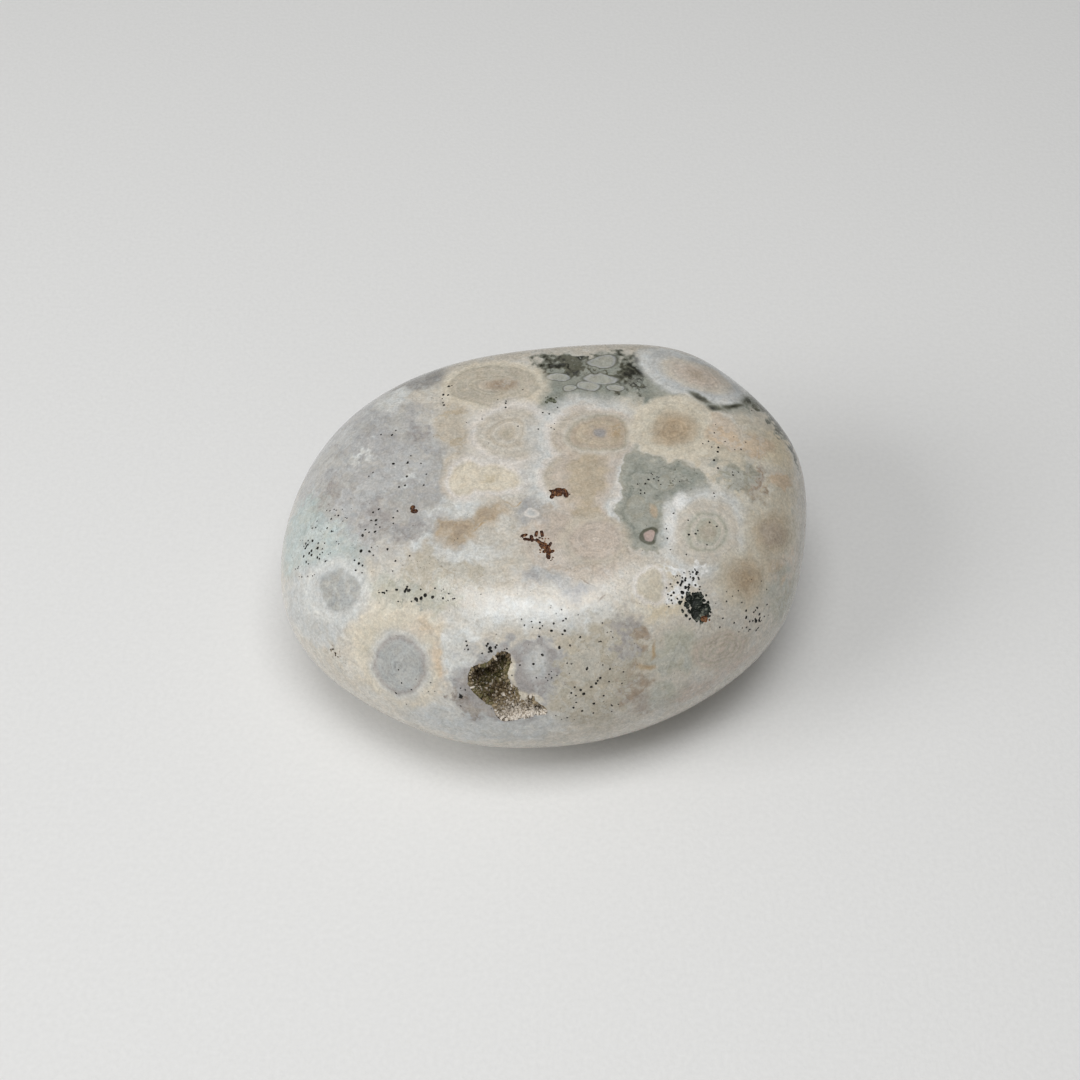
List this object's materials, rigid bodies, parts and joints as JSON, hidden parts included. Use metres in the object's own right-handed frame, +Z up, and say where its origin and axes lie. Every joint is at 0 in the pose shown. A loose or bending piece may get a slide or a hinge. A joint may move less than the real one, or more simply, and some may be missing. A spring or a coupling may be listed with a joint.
{
  "type": "tumbled ocean jasper",
  "caption": "Polished tumbled jasper pebble, rounded and slightly flattened, with an open hollow in its front lined by a crust of small quartz points, for holding in the palm or display.",
  "frame": {"origin": "under the middle of the stone's box, on the plane that it rests on", "axes": "+Z up from the resting face; +X along the stone's length; -Y towards the side with the crystal-lined hollow"},
  "size_m": [0.0684, 0.0538, 0.0298],
  "materials": {
    "polished_jasper": "polished, soft sheen; orbs and bands in cream, beige, lilac grey and grey green",
    "quartz_crust": "small glassy quartz points stained olive brown"
  },
  "bodies": {
    "root": {"stone": "polished_jasper", "crystal_crust": "quartz_crust"}
  },
  "joints": []
}
